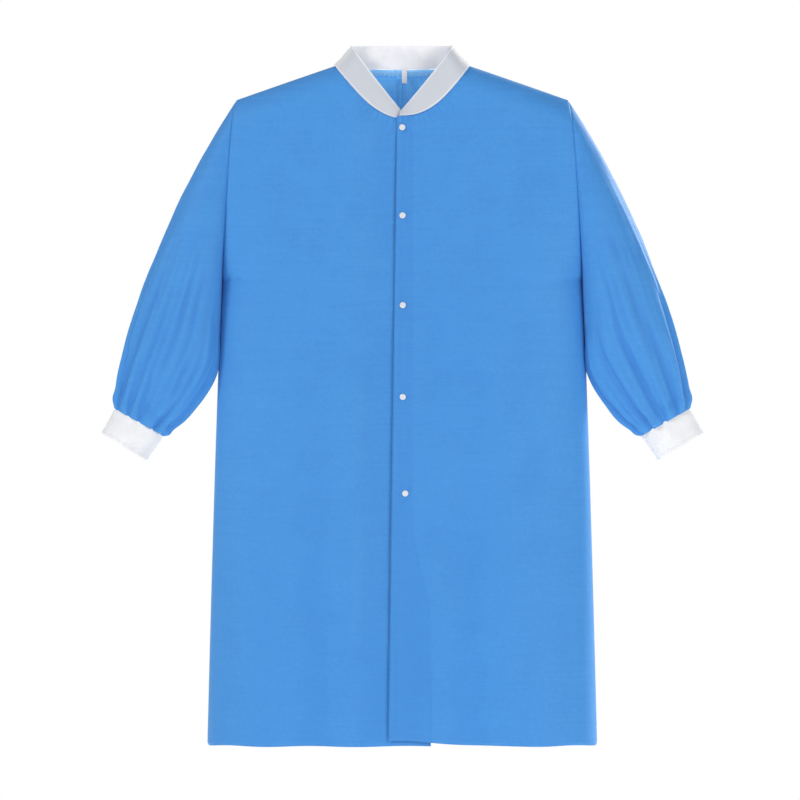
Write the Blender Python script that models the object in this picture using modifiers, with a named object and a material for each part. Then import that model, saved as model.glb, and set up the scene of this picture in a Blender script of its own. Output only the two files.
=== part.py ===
"""Knee-length disposable laboratory coat: nonwoven cloth, knitted collar and cuffs, snap front.

The coat hangs upright with its neck opening at the origin, +Z up and its front towards -Y. The
wearer's left side is at +X. Every cloth piece is a thin shell laid on one body form: fronts stand
off the mid-plane y = 0 towards -Y and backs towards +Y. Lengths are in metres.
"""

import math

import bmesh
import bpy
from mathutils import Matrix, Vector

MM = 0.001

# Body outline, seen from the front
LENGTH = 1.052            # side neck point down to the hem
NECK_X = 0.102            # side neck point, half of the neck width
TIP_X = 0.256             # shoulder tip
HEM_X = 0.302             # half of the hem width
SHOULDER_DROP = 0.0535    # side neck point down to the shoulder tip
UNDERARM = 0.330          # side neck point down to the underarm
FLARE_POWER = 0.53        # how early the sides reach their full width

# Depth of the hanging coat, front and back of the mid-plane
FRONT_NECK = 0.028
FRONT_HEM = 0.085
BACK_NECK = 0.034
BACK_BLADE = 0.041        # what the shoulder blades add to the back
BACK_HEM = 0.013          # what the hem adds to the back
BLADE_DROP = 0.10
SHOULDER_ROUND = 0.035    # height over which the cloth rolls over the shoulder
NECK_ROLL = 0.035         # how high the roll would meet above the open neck
FULLNESS = 4              # how squarely the body fills out towards its sides
FRONT_ARMHOLE = 0.030     # half depths of the armhole
BACK_ARMHOLE = 0.042

# Neckline and collar
NECKLINE_POWER = {1: 2.2, -1: 1.9}    # how flat the neckline runs at the centre
FRONT_DROP = {1: 0.079, -1: 0.083}    # neckline depth at the centre, left and right front
BACK_DROP = 0.006
COLLAR_TOP_X = 0.0775
COLLAR_RISE = 0.0300
COLLAR_BACK_RISE = 0.0010
COLLAR_TIP_Z = -0.074
COLLAR_TIP_X = {1: -0.0043, -1: 0.0010}
COLLAR_LEAN = 0.85        # depth of the band's top edge, as a share of its foot's
COLLAR_FALL = 0.92        # how evenly the top edge drops towards the front

# Front opening
FOLD_HEM_X = 0.170        # where the fold line of each flap meets the hem
LEFT_EDGE = (-0.007, -0.022)          # free edge of the over flap, neckline and hem
RIGHT_EDGE = (0.0147, 0.044)          # free edge of the under flap
RIGHT_FLARE = (0.70, 0.87)            # drops between which the under edge runs outwards
OVER_HEM_LIFT = 0.008
LAP = 5.6 * MM            # under flap behind the over flap
LAP_RAMP = 0.07           # width over which the under flap steps back
LEFT_FACING = 0.026
RIGHT_FACING = 0.055

# Cloth
CLOTH = 1.0 * MM
FACING = 0.8 * MM
TRIM = 0.6 * MM
KNIT = 1.6 * MM
GAP = 0.3 * MM
CLEAR = 2.2 * MM          # between a back panel and the seam allowances inside it
SEAM = 1.0 * MM           # gap between two cloth pieces at a seam
EDGE_SEAM = 0.8 * MM      # half gap where front and back meet

# Sleeve and cuff outlines, seen from the front, for the wearer's left
SLEEVE_OUTER = ((0.256, -0.0535), (0.362, -0.195), (0.440, -0.42), (0.4456, -0.5318))
SLEEVE_INNER = ((0.2815, -0.330), (0.2828, -0.375), (0.2850, -0.430),
                (0.2885, -0.480), (0.3270, -0.537), (0.3700, -0.5745))
SLEEVE_FRONT_FULL = 0.050
SLEEVE_BACK_FULL = 0.056
SLEEVE_FULL_FROM = 0.25   # shares of a half wave that shape the sleeve's fullness down its length
SLEEVE_FULL_RUN = 0.62
CUFF_TAPER = 6            # how late the sleeve narrows to the cuff's depth
ARMHOLE_PULL = 4          # how soon the sleeve leaves the armhole's line
CUFF_HALF_DEPTH = 0.018
CUFF_END = ((0.4665, -0.5696), (0.3970, -0.6120))

# Snaps: x and drop of each, and the radii of their parts
SNAP_PLACES = ((0.0000, 0.0969), (0.0004, 0.2333), (0.0008, 0.3720),
               (0.0008, 0.5138), (0.0046, 0.6626))
SNAP_SIDES = 12
HOLE_RADIUS = 1.6 * MM
CAP_PROFILE = ((0, 1.5), (1.4, 1.4), (2.0, 1.1), (2.6, 1.5), (4.2, 1.2), (4.8, 0.7), (4.8, 0.3),
               (1.2, 0.3), (1.2, -2.9), (0, -2.9))
SOCKET_PROFILE = ((1.5, -2.4), (4.5, -2.4), (4.5, -3.6), (4.1, -4.0), (2.4, -4.0),
                  (2.4, -3.1), (1.5, -3.1), (1.5, -2.4))
STUD_PROFILE = ((0, -3.45), (1.7, -3.45), (2.1, -3.8), (2.0, -4.3), (4.2, -4.3), (4.5, -4.6),
                (4.5, -5.3), (1.5, -5.3), (1.5, -4.2), (0, -4.2))
BACK_PROFILE = ((0, -4.5), (1.2, -4.5), (1.2, -8.0), (4.5, -8.0), (4.5, -8.6), (4.2, -8.9),
                (0, -8.9))

# Label and inner seams
LABEL_WIDTH = 0.008
LABEL_LENGTH = 0.022
LABEL_X = 0.0035
LABEL_Z = -0.0035
TAPE_HALF = 0.084
TAPE_HEIGHT = 0.0085
SEAM_LAP = 0.009

# Joints: just in front of a flap's fold line at the neck, and inside a shoulder tip
FLAP_AXIS_TOP = Vector((0.102, -0.0300, 0.0))
SLEEVE_PIVOT = Vector((0.250, 0.0, -0.045))
EMPTY_SIZE = 0.05

# Grids: columns across and rows along each cloth piece
PANEL_ROWS = 16
ROW_SPREAD = 1.4          # rows lie closer together near the shoulders
SIDE_COLUMNS = 8
FLAP_COLUMNS = 10
BACK_COLUMNS = 15
NECK_SHARE = 0.4          # share of a back panel's columns that lie under the collar
FACING_COLUMNS = 3
COLLAR_BACK_COLUMNS = 18
COLLAR_FRONT_COLUMNS = 12
COLLAR_ROWS = 2
TAPE_COLUMNS = 14
SLEEVE_COLUMNS = 22
SLEEVE_ROWS = 14
CUFF_COLUMNS = 20
CUFF_ROWS = 2
WELD = 1e-6
TURN_WELD = 1e-5
PIN_LENGTH = 0.04

# Colours and roughness
BLUE = (0.075, 0.290, 0.760)
WHITE_KNIT = (0.84, 0.84, 0.86)
WHITE_PLASTIC = (0.88, 0.89, 0.90)
NONWOVEN_ROUGH = 0.75
KNIT_ROUGH = 0.85
PLASTIC_ROUGH = 0.35
LABEL_ROUGH = 0.8


# ---------------------------------------------------------------- the body form

def mix(low, high, amount):
    return low + (high - low) * amount


def side_x(z):
    """Half width of the body at height z: armhole line, then side seam."""
    drop = max(-z - SHOULDER_DROP, 0.0) / (LENGTH - SHOULDER_DROP)
    return TIP_X + (HEM_X - TIP_X) * drop ** FLARE_POWER


def fold_x(z):
    """Distance of a flap's fold line from the centre."""
    return mix(NECK_X, FOLD_HEM_X, -z / LENGTH)


def shoulder_z(x):
    """Height where front and back would meet over the shoulder, or over the open neck."""
    x = abs(x)
    if x < NECK_X:
        return NECK_ROLL * (1 - (x / NECK_X) ** 2)
    return -SHOULDER_DROP * (x - NECK_X) / (TIP_X - NECK_X)


def seam_z(x):
    """Height of the shoulder seam."""
    return min(0.0, -SHOULDER_DROP * (abs(x) - NECK_X) / (TIP_X - NECK_X))


def cloth_depth(x, z, full, armhole):
    """How far the cloth stands off the mid-plane at x, z."""
    reach = min(abs(x) / side_x(z), 1.0)
    along = (-z - SHOULDER_DROP) / (UNDERARM - SHOULDER_DROP)
    edge = armhole * math.sqrt(max(4 * along * (1 - along), 0.0))
    roll = min(max((shoulder_z(x) - z) / SHOULDER_ROUND, 0.0), 1.0)
    plain = edge + (full - edge) * math.sqrt(1 - reach ** FULLNESS)
    return plain * math.sqrt(1 - (1 - roll) ** 2)


def front_y(x, z):
    full = mix(FRONT_NECK, FRONT_HEM, -z / LENGTH)
    return -cloth_depth(x, z, full, FRONT_ARMHOLE) - EDGE_SEAM


def back_y(x, z):
    drop = -z
    full = BACK_NECK + BACK_BLADE * (1 - math.exp(-drop / BLADE_DROP)) + BACK_HEM * drop / LENGTH
    return cloth_depth(x, z, full, BACK_ARMHOLE) + EDGE_SEAM


def under_y(x, z):
    """Front surface of the right flap, which steps back behind the left one."""
    step = min(max((x + 0.5 * LAP_RAMP + fold_x(z) / 2) / LAP_RAMP, 0.0), 1.0)
    return front_y(x, z) + LAP * step * step * (3 - 2 * step)


def neckline_z(x, side):
    """Height of the front neckline of one side at x."""
    reach = min(max(side * x, 0.0) / NECK_X, 1.0)
    return -FRONT_DROP[side] * (1 - reach ** NECKLINE_POWER[side])


def back_neckline_z(x):
    return -BACK_DROP * (1 - min(abs(x) / NECK_X, 1.0) ** 2)


def left_edge_x(z):
    return mix(LEFT_EDGE[0], LEFT_EDGE[1], -z / LENGTH)


def right_edge_x(z):
    flare = min(max((-z - RIGHT_FLARE[0]) / (RIGHT_FLARE[1] - RIGHT_FLARE[0]), 0.0), 1.0)
    return mix(RIGHT_EDGE[0], RIGHT_EDGE[1], flare)


EDGE_X = {1: left_edge_x, -1: right_edge_x}
FLAP_Y = {1: front_y, -1: under_y}
SIDE_NAME = {1: "left", -1: "right"}


# ---------------------------------------------------------------- building helpers

def new_object(name, mesh, material, collection, empty=None):
    obj = bpy.data.objects.new(name, mesh)
    collection.objects.link(obj)
    if material:
        mesh.materials.append(material)
    if empty:
        obj.parent = empty
        obj.matrix_parent_inverse = empty.matrix_world.inverted()
    return obj


def shell(name, columns, rows, place, thickness, material, collection,
          flip=False, closed=False, empty=None):
    """Map a grid through place(u, v) and give it a thickness towards the coat's inside."""
    bm = bmesh.new()
    bmesh.ops.create_grid(bm, x_segments=columns, y_segments=rows, size=0.5)
    for vert in bm.verts:
        vert.co = Vector(place(vert.co.x + 0.5, vert.co.y + 0.5))
    if closed:
        bmesh.ops.remove_doubles(bm, verts=bm.verts, dist=WELD)
    if flip:
        bmesh.ops.reverse_faces(bm, faces=bm.faces)
    mesh = bpy.data.meshes.new(name)
    bm.to_mesh(mesh)
    bm.free()
    mesh.shade_smooth()
    obj = new_object(name, mesh, material, collection, empty)
    solid = obj.modifiers.new("thickness", "SOLIDIFY")
    solid.thickness = thickness
    solid.offset = -1
    return obj


def turned(name, profile_mm, matrix, material, collection, empty):
    """A turned piece: radius and height pairs in millimetres, round its own Z axis."""
    mesh = bpy.data.meshes.new(name)
    verts = [(radius * MM, 0.0, height * MM) for radius, height in profile_mm]
    mesh.from_pydata(verts, [(i, i + 1) for i in range(len(verts) - 1)], [])
    obj = new_object(name, mesh, material, collection, empty)
    obj.matrix_world = matrix
    screw = obj.modifiers.new("turn", "SCREW")
    screw.steps = SNAP_SIDES
    screw.render_steps = SNAP_SIDES
    screw.use_merge_vertices = True
    screw.merge_threshold = TURN_WELD
    screw.use_smooth_shade = True
    return obj


def drill(obj, cutter):
    hole = obj.modifiers.new("snap holes", "BOOLEAN")
    hole.operation = "DIFFERENCE"
    hole.solver = "EXACT"
    hole.object = cutter


def make_material(name, color, roughness):
    material = bpy.data.materials.new(name)
    material.use_nodes = True
    shader = material.node_tree.nodes["Principled BSDF"]
    shader.inputs["Base Color"].default_value = (*color, 1.0)
    shader.inputs["Roughness"].default_value = roughness
    shader.inputs["Metallic"].default_value = 0.0
    material.diffuse_color = (*color, 1.0)
    return material


def make_empty(name, location, collection):
    empty = bpy.data.objects.new(name, None)
    empty.location = location
    empty.empty_display_size = EMPTY_SIZE
    collection.objects.link(empty)
    return empty


def path_point(points, along):
    """Point on a smooth curve through a few outline points, along from 0 to 1."""
    spans = len(points) - 1
    index = min(int(along * spans), spans - 1)
    t = along * spans - index
    knots = [Vector(points[min(max(index + step, 0), spans)]) for step in (-1, 0, 1, 2)]
    before, start, end, after = knots
    return 0.5 * (2 * start + (end - before) * t
                  + (2 * before - 5 * start + 4 * end - after) * t ** 2
                  + (3 * start - before - 3 * end + after) * t ** 3)


def bezier_point(points, along):
    """Point on the cubic Bezier curve of four control points."""
    start, lift, land, end = (Vector(point) for point in points)
    rest = 1 - along
    return (rest ** 3 * start + 3 * rest ** 2 * along * lift
            + 3 * rest * along ** 2 * land + along ** 3 * end)


# ---------------------------------------------------------------- body panels

def front_side(side, cloth, collection):
    """The part of a front between its fold line and the side seam."""
    def place(u, v):
        across = math.sin(math.pi / 2 * u)
        top = seam_z(mix(NECK_X + SEAM, TIP_X, across))
        z = mix(top, -LENGTH, v ** ROW_SPREAD)
        x = mix(fold_x(z) + SEAM, side_x(z), across)
        return side * x, front_y(x, z), z
    return shell(f"{SIDE_NAME[side]}_front_side", SIDE_COLUMNS, PANEL_ROWS, place, CLOTH, cloth,
                 collection, flip=side > 0)


def front_flap(side, cloth, collection, empty):
    """The part of a front that opens, from its free edge to its fold line."""
    def place(u, v):
        edge_top = EDGE_X[side](-FRONT_DROP[side])
        top = neckline_z(mix(edge_top, side * NECK_X, u), side)
        lift = OVER_HEM_LIFT * (1 - u) if side > 0 else 0.0
        z = mix(top, lift - LENGTH, v ** ROW_SPREAD)
        x = mix(EDGE_X[side](z), side * fold_x(z), u)
        return x, FLAP_Y[side](x, z), z
    return shell(f"{SIDE_NAME[side]}_front", FLAP_COLUMNS, PANEL_ROWS, place, CLOTH, cloth,
                 collection, flip=side > 0, empty=empty)


def back_panel(side, cloth, collection):
    """Half of the back, from the centre seam to the side seam."""
    def place(u, v):
        if u < NECK_SHARE:
            top_x = mix(SEAM / 2, NECK_X, u / NECK_SHARE)
            top = back_neckline_z(top_x)
        else:
            swing = math.sin(math.pi / 2 * (u - NECK_SHARE) / (1 - NECK_SHARE))
            top_x = mix(NECK_X, TIP_X, swing)
            top = seam_z(top_x)
        z = mix(top, -LENGTH, v ** ROW_SPREAD)
        x = top_x * side_x(z) / TIP_X
        return side * x, back_y(x, z), z
    return shell(f"{SIDE_NAME[side]}_back", BACK_COLUMNS, PANEL_ROWS, place, CLOTH, cloth,
                 collection, flip=side < 0)


def front_facing(side, cloth, collection, empty):
    """The strip folded in behind a front's free edge."""
    width = LEFT_FACING if side > 0 else RIGHT_FACING
    behind = CLOTH + GAP

    def place(u, v):
        near = EDGE_X[side](-FRONT_DROP[side]) + side * SEAM
        top = neckline_z(mix(near, near + side * width, u), side) - SEAM
        z = mix(top, OVER_HEM_LIFT + SEAM - LENGTH, v ** ROW_SPREAD)
        x = EDGE_X[side](z) + side * mix(SEAM, width, u)
        return x, FLAP_Y[side](x, z) + behind, z
    return shell(f"{SIDE_NAME[side]}_facing", FACING_COLUMNS, PANEL_ROWS, place, FACING, cloth,
                 collection, flip=side > 0, empty=empty)


def center_back_seam(cloth, collection):
    """The overlocked seam allowance inside the centre back."""
    def place(u, v):
        x = mix(-SEAM_LAP, -GAP, u)
        z = mix(-BACK_DROP - TAPE_HEIGHT - 2 * SEAM, SEAM - LENGTH, v ** ROW_SPREAD)
        return x, back_y(x, z) - CLOTH - CLEAR, z
    return shell("center_back_seam", 1, PANEL_ROWS, place, TRIM, cloth, collection)


# ---------------------------------------------------------------- collar, tape and label

def collar_back(knit, collection):
    """The standing band from one side neck point round the back to the other."""
    def place(u, v):
        x = mix(-NECK_X, NECK_X, u) * (1 - SEAM)
        foot_z = back_neckline_z(x)
        foot = Vector((x, back_y(x, foot_z), foot_z + SEAM))
        rise = COLLAR_RISE + COLLAR_BACK_RISE * (1 - (x / NECK_X) ** 4)
        top = Vector((x * COLLAR_TOP_X / NECK_X, foot.y * COLLAR_LEAN, rise))
        return foot.lerp(top, v)
    return shell("collar_back", COLLAR_BACK_COLUMNS, COLLAR_ROWS, place, KNIT, knit, collection,
                 flip=True)


def collar_front(side, knit, collection, empty):
    """The standing band from the side neck point down to the centre front."""
    tip = COLLAR_TIP_X[side]

    def place(u, v):
        x = mix(side * NECK_X, tip, u)
        neck = neckline_z(x, side)
        foot = Vector((x, FLAP_Y[side](x, neck), neck + SEAM))
        fall = (COLLAR_RISE - COLLAR_TIP_Z) * u ** COLLAR_FALL
        top = Vector((mix(side * COLLAR_TOP_X, tip, u), foot.y * COLLAR_LEAN, COLLAR_RISE - fall))
        return foot.lerp(top, v)
    return shell(f"collar_{SIDE_NAME[side]}", COLLAR_FRONT_COLUMNS, COLLAR_ROWS, place, KNIT, knit,
                 collection, flip=side < 0, empty=empty)


def neck_tape(cloth, collection):
    """The overlocked neck seam allowance inside the back neck."""
    def place(u, v):
        x = mix(-TAPE_HALF, TAPE_HALF, u)
        z = back_neckline_z(x) - SEAM - TAPE_HEIGHT * v
        return x, back_y(x, z) - CLOTH - CLEAR, z
    return shell("neck_tape", TAPE_COLUMNS, 1, place, TRIM, cloth, collection)


def size_label(fabric, collection, empty):
    """A blank woven label that hangs from the back neck seam."""
    bm = bmesh.new()
    bmesh.ops.create_cube(bm, size=1.0)
    bmesh.ops.scale(bm, vec=(LABEL_WIDTH, GAP, LABEL_LENGTH), verts=bm.verts)
    bmesh.ops.translate(bm, vec=empty.location - Vector((0, 0, LABEL_LENGTH / 2)), verts=bm.verts)
    mesh = bpy.data.meshes.new("size_label")
    bm.to_mesh(mesh)
    bm.free()
    return new_object("size_label", mesh, fabric, collection, empty)


# ---------------------------------------------------------------- sleeves and cuffs

def sleeve_point(side, turn, along):
    """Point on the sleeve: turn goes round it, along runs from armhole to cuff."""
    angle = 2 * math.pi * turn
    across = (1 - math.cos(angle)) / 2
    outer = bezier_point(SLEEVE_OUTER, along)
    inner = path_point(SLEEVE_INNER, along)
    point = outer.lerp(inner, across)
    full = math.sqrt(math.sin(math.pi * (SLEEVE_FULL_FROM + SLEEVE_FULL_RUN * along)))
    front = mix(SLEEVE_FRONT_FULL * full, CUFF_HALF_DEPTH, along ** CUFF_TAPER)
    back = mix(SLEEVE_BACK_FULL * full, CUFF_HALF_DEPTH, along ** CUFF_TAPER)
    depth = math.sin(angle) * (front if angle < math.pi else back)

    # The first section lies on the armhole, whose line bows out with the body.
    hole_z = mix(-SHOULDER_DROP, -UNDERARM, across)
    hole_x = side_x(hole_z)
    hole_y = front_y(hole_x, hole_z) if angle < math.pi else back_y(hole_x, hole_z)
    near = (1 - along) ** ARMHOLE_PULL
    x = mix(point.x, hole_x + SEAM, near)
    z = mix(point.y, hole_z, near)
    if 0 < turn < 1 and abs(turn - 0.5) > 1e-6:
        y = mix(-depth, hole_y, near)
    else:
        y = 0.0
    return side * x, y, z


def sleeve(side, cloth, collection, empty):
    def place(u, v):
        return sleeve_point(side, u, v)
    return shell(f"{SIDE_NAME[side]}_sleeve", SLEEVE_COLUMNS, SLEEVE_ROWS, place, CLOTH, cloth,
                 collection, flip=side < 0, closed=True, empty=empty)


def cuff(side, knit, collection, empty):
    """A tube of rib knit on the sleeve's end."""
    outer_top = Vector(SLEEVE_OUTER[-1])
    inner_top = Vector(SLEEVE_INNER[-1])
    outer_end, inner_end = (Vector(point) for point in CUFF_END)
    start = SEAM / (outer_end - outer_top).length

    def place(u, v):
        angle = 2 * math.pi * u
        across = (1 - math.cos(angle)) / 2
        down = mix(start, 1.0, v)
        point = outer_top.lerp(outer_end, down).lerp(inner_top.lerp(inner_end, down), across)
        return side * point.x, -math.sin(angle) * CUFF_HALF_DEPTH, point.y
    return shell(f"{SIDE_NAME[side]}_cuff", CUFF_COLUMNS, CUFF_ROWS, place, KNIT, knit, collection,
                 flip=side < 0, closed=True, empty=empty)


# ---------------------------------------------------------------- snaps

def snap_matrix(x, drop):
    """Frame of a snap: its origin on the over flap's face, its Z along the outward normal."""
    step = 0.005
    z = -drop
    normal = Vector(((front_y(x + step, z) - front_y(x - step, z)) / (2 * step), -1.0,
                     (front_y(x, z + step) - front_y(x, z - step)) / (2 * step)))
    turn = normal.to_track_quat("Z", "Y").to_matrix().to_4x4()
    return Matrix.Translation((x, front_y(x, z), z)) @ turn


def snap_holes(collection):
    """One pin through both flaps at every snap."""
    bm = bmesh.new()
    for x, drop in SNAP_PLACES:
        bmesh.ops.create_cone(bm, cap_ends=True, segments=SNAP_SIDES, radius1=HOLE_RADIUS,
                              radius2=HOLE_RADIUS, depth=PIN_LENGTH, matrix=snap_matrix(x, drop))
    mesh = bpy.data.meshes.new("snap_holes")
    bm.to_mesh(mesh)
    bm.free()
    cutter = new_object("snap_holes", mesh, None, collection)
    cutter.hide_render = True
    cutter.display_type = "WIRE"
    return cutter


def snaps(plastic, collection, left_empty, right_empty):
    pieces = (("cap", CAP_PROFILE, left_empty), ("socket", SOCKET_PROFILE, left_empty),
              ("stud", STUD_PROFILE, right_empty), ("back", BACK_PROFILE, right_empty))
    for number, (x, drop) in enumerate(SNAP_PLACES, start=1):
        for kind, profile, empty in pieces:
            turned(f"snap_{kind}_{number}", profile, snap_matrix(x, drop), plastic,
                   collection, empty)


# ---------------------------------------------------------------- assembly

def build():
    for obj in list(bpy.data.objects):
        bpy.data.objects.remove(obj, do_unlink=True)
    coat = bpy.data.collections.new("lab_coat")
    cutters = bpy.data.collections.new("cutters")
    for collection in (coat, cutters):
        bpy.context.scene.collection.children.link(collection)

    cloth = make_material("nonwoven", BLUE, NONWOVEN_ROUGH)
    knit = make_material("rib_knit", WHITE_KNIT, KNIT_ROUGH)
    plastic = make_material("snap_plastic", WHITE_PLASTIC, PLASTIC_ROUGH)
    woven = make_material("label_tape", WHITE_KNIT, LABEL_ROUGH)

    flap_empty = {}
    for side in (1, -1):
        hinge = Vector((side * FLAP_AXIS_TOP.x, FLAP_AXIS_TOP.y, FLAP_AXIS_TOP.z))
        flap_empty[side] = make_empty(f"{SIDE_NAME[side]}_flap_axis", hinge, coat)
    label_y = back_y(0.0, -BACK_DROP) - CLOTH - CLEAR - 2 * TRIM
    label_empty = make_empty("label_axis", Vector((LABEL_X, label_y, LABEL_Z)), coat)
    bpy.context.view_layer.update()

    for side in (1, -1):
        pivot = Vector((side * SLEEVE_PIVOT.x, 0.0, SLEEVE_PIVOT.z))
        arm = make_empty(f"{SIDE_NAME[side]}_sleeve_axis", pivot, coat)
        bpy.context.view_layer.update()
        front_side(side, cloth, coat)
        back_panel(side, cloth, coat)
        sleeve(side, cloth, coat, arm)
        cuff(side, knit, coat, arm)
        collar_front(side, knit, coat, flap_empty[side])
    collar_back(knit, coat)
    neck_tape(cloth, coat)
    center_back_seam(cloth, coat)
    size_label(woven, coat, label_empty)

    holes = snap_holes(cutters)
    for side in (1, -1):
        drill(front_flap(side, cloth, coat, flap_empty[side]), holes)
        drill(front_facing(side, cloth, coat, flap_empty[side]), holes)
    snaps(plastic, coat, flap_empty[1], flap_empty[-1])


build()
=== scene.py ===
"""Looks of the laboratory coat: nonwoven cloth, rib knit, snaps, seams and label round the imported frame."""

import math

import bmesh
import bpy
import numpy as np
from mathutils import Matrix, Vector, noise


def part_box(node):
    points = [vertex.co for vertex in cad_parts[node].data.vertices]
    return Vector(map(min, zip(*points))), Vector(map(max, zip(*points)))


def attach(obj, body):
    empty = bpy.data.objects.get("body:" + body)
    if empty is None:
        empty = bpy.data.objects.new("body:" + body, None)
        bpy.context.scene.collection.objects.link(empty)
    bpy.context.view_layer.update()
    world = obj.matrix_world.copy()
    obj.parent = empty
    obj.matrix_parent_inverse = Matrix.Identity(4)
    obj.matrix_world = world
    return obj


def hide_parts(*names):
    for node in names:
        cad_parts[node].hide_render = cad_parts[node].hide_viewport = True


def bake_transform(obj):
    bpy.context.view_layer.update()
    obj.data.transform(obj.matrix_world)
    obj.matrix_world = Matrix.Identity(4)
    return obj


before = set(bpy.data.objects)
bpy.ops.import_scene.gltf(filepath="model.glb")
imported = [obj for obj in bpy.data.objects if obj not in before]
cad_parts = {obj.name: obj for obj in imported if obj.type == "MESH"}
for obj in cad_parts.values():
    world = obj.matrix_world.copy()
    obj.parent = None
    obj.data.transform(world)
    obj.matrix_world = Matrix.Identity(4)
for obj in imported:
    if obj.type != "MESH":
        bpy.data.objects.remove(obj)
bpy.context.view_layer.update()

MM = 0.001

# ---------------------------------------------------------------- sizes read from the frame

LENGTH = -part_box("left_back")[0].z
HEM_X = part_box("left_back")[1].x
BACK_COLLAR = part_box("collar_back")
NECK_X = round(BACK_COLLAR[1].x, 3)
COLLAR_TOP_Z = BACK_COLLAR[1].z
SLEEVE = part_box("left_sleeve")
SHOULDER_DROP = -SLEEVE[1].z
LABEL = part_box("size_label")

# The coat's form, as the frame was built
TIP_X = 0.256
UNDERARM = 0.330
FLARE_POWER = 0.53
FRONT_NECK = 0.028
FRONT_HEM = 0.085
BACK_NECK = 0.034
BACK_BLADE = 0.041
BACK_HEM = 0.013
BLADE_DROP = 0.10
SHOULDER_ROUND = 0.035
FRONT_ARMHOLE = 0.030
BACK_ARMHOLE = 0.042
NECKLINE_POWER = {1: 2.2, -1: 1.9}
FRONT_DROP = {1: 0.079, -1: 0.083}
BACK_DROP = 0.006
COLLAR_TOP_X = 0.0775
COLLAR_SIDE_Z = 0.0300
COLLAR_TIP_Z = -0.074
COLLAR_TIP_X = {1: -0.0043, -1: 0.0010}
COLLAR_LEAN = 0.85
FOLD_HEM_X = 0.170
LEFT_EDGE = (-0.007, -0.022)
RIGHT_EDGE = (0.0147, 0.044)
RIGHT_FLARE = (0.70, 0.87)
OVER_HEM_LIFT = 0.008
LAP = 5.6 * MM
LAP_RAMP = 0.07
FACING_WIDTH = {1: 0.026, -1: 0.055}
SIDE_POWER = 5.0          # squarer at the sides than the frame, to keep the front flat

SLEEVE_OUTER = ((0.256, -0.0535), (0.362, -0.195), (0.440, -0.42), (0.4456, -0.5318))
SLEEVE_INNER = ((0.2795, -0.330), (0.2800, -0.375), (0.2822, -0.430),
                (0.2865, -0.482), (0.3270, -0.538), (0.3700, -0.5745))
CUFF_END = ((0.4665, -0.5696), (0.3970, -0.6120))
CUFF_HALF_DEPTH = 0.018
SNAP_PLACES = ((0.0000, 0.0969), (0.0004, 0.2333), (0.0008, 0.3720),
               (0.0008, 0.5138), (0.0046, 0.6626))

CLOTH = 0.7 * MM
KNIT = 1.4 * MM
SIDE_NAME = {1: "left", -1: "right"}


# ---------------------------------------------------------------- camera, light and floor

VIEW_WIDTH = 1.24         # width of the view at the coat
SENSOR_WIDTH = 36
CAMERA_FAR = 12.0
CAMERA_AIM = Vector((-0.0035, 0.0, -0.5185))
FLOOR_Z = -1.62
FLOOR_RADIUS = 6.0
ROOM_LIGHT = 0.38         # brightness of the white room as light; the view sees it as plain white
FLOOR_GLOW = 0.56         # makes up on the floor for the dimmed room light
LIGHT_AIM = Vector((0, 0, -0.5))
LIGHTS = (("key", (-3.1, -2.2, 2.2), 1.0, 92), ("fill", (2.6, -3.4, 0.4), 1.6, 62),
          ("rim", (2.9, 2.6, 1.2), 1.0, 150))       # name, place, size, power


def make_camera():
    camera = bpy.data.objects.new("camera", bpy.data.cameras.new("camera"))
    bpy.context.scene.collection.objects.link(camera)
    camera.location = CAMERA_AIM + Vector((0, -CAMERA_FAR, 0))
    camera.rotation_euler = (math.pi / 2, 0, 0)
    camera.data.sensor_width = SENSOR_WIDTH
    camera.data.lens = SENSOR_WIDTH * CAMERA_FAR / VIEW_WIDTH
    camera.data.clip_end = 100
    bpy.context.scene.camera = camera


def area_light(name, place, size, power):
    light = bpy.data.lights.new(name, "AREA")
    light.size = size
    light.energy = power
    lamp = bpy.data.objects.new(name, light)
    bpy.context.scene.collection.objects.link(lamp)
    lamp.location = place
    aim = LIGHT_AIM - Vector(place)
    lamp.rotation_euler = aim.to_track_quat("-Z", "Y").to_euler()


def make_studio():
    world = bpy.data.worlds.new("white_room")
    world.use_nodes = True
    tree = world.node_tree
    seen = tree.nodes.new("ShaderNodeLightPath")
    strength = tree.nodes.new("ShaderNodeMapRange")
    strength.inputs["To Min"].default_value = ROOM_LIGHT
    strength.inputs["To Max"].default_value = 1.0
    tree.links.new(seen.outputs["Is Camera Ray"], strength.inputs["Value"])
    tree.links.new(strength.outputs["Result"], tree.nodes["Background"].inputs["Strength"])
    tree.nodes["Background"].inputs["Color"].default_value = (1, 1, 1, 1)
    bpy.context.scene.world = world
    bpy.context.scene.view_settings.view_transform = "Standard"
    for lamp in LIGHTS:
        area_light(*lamp)
    bpy.ops.mesh.primitive_circle_add(vertices=96, radius=FLOOR_RADIUS, fill_type="NGON",
                                      location=(0, 0, FLOOR_Z))
    floor = bpy.context.object
    floor.name = "floor"
    paint = plain_material("floor_paint", (0.93, 0.93, 0.93), 0.8)
    shader = paint.node_tree.nodes["Principled BSDF"]
    shader.inputs["Emission Color"].default_value = (1, 1, 1, 1)
    shader.inputs["Emission Strength"].default_value = FLOOR_GLOW
    floor.data.materials.append(paint)


# ---------------------------------------------------------------- materials

def plain_material(name, color, roughness):
    material = bpy.data.materials.new(name)
    material.use_nodes = True
    shader = material.node_tree.nodes["Principled BSDF"]
    shader.inputs["Base Color"].default_value = (*color, 1)
    shader.inputs["Roughness"].default_value = roughness
    return material


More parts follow.
